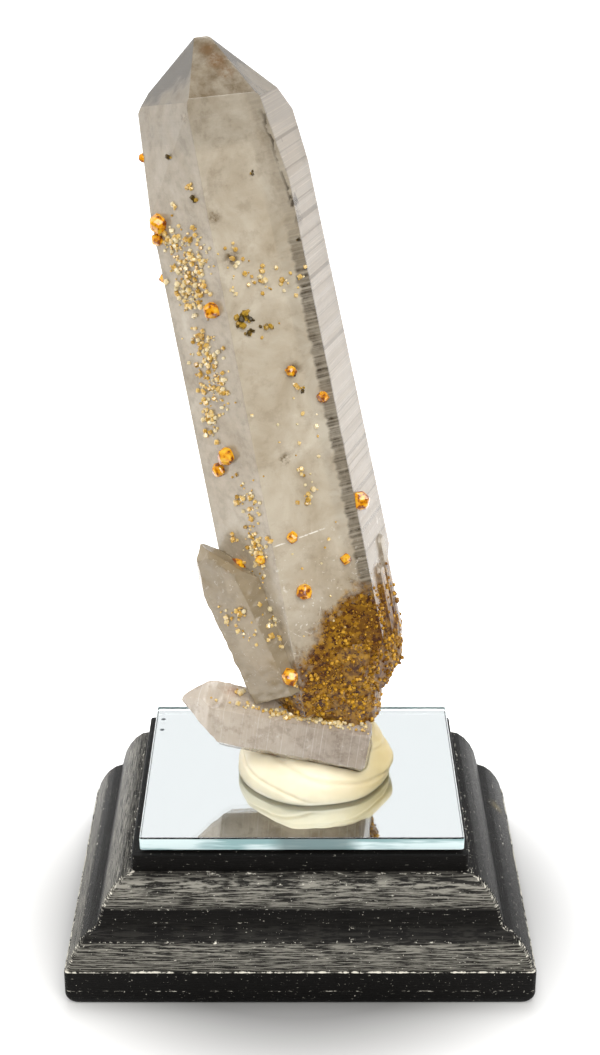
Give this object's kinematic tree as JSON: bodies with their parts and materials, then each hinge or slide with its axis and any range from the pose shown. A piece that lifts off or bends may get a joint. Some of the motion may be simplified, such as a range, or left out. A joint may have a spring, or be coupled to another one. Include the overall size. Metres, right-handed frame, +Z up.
{
  "type": "mounted spessartine on smoky quartz specimen",
  "caption": "Leaning smoky quartz crystal dotted with orange spessartine garnets, bedded in cream tack on a mirror-topped black moulded wood stand.",
  "frame": {"origin": "on the surface it stands on, under the middle of the stand's footprint", "axes": "+Z up, along the specimen's height; -Y is the front of the stand; +X is to the right"},
  "size_m": [0.1078, 0.0808, 0.2094],
  "materials": {
    "black_painted_wood": "black paint on profiled wood, satin, grain showing",
    "mirror_glass": "silvered float glass with ground edges",
    "mineral_tack": "soft cream putty, matte to satin",
    "smoky_quartz": "natural translucent smoky quartz faces, glassy",
    "spessartine": "natural glassy orange garnet faces"
  },
  "bodies": {
    "root": {"display_stand": "black_painted_wood", "mirror_plate": "mirror_glass", "mineral_tack": "mineral_tack", "smoky_quartz": "smoky_quartz", "spessartine_01": "spessartine", "spessartine_02": "spessartine", "spessartine_03": "spessartine", "spessartine_04": "spessartine", "spessartine_05": "spessartine", "spessartine_06": "spessartine", "spessartine_07": "spessartine", "spessartine_08": "spessartine", "spessartine_09": "spessartine", "spessartine_10": "spessartine", "spessartine_11": "spessartine", "spessartine_12": "spessartine", "spessartine_13": "spessartine", "spessartine_14": "spessartine", "spessartine_15": "spessartine", "spessartine_16": "spessartine", "spessartine_17": "spessartine"}
  },
  "joints": []
}
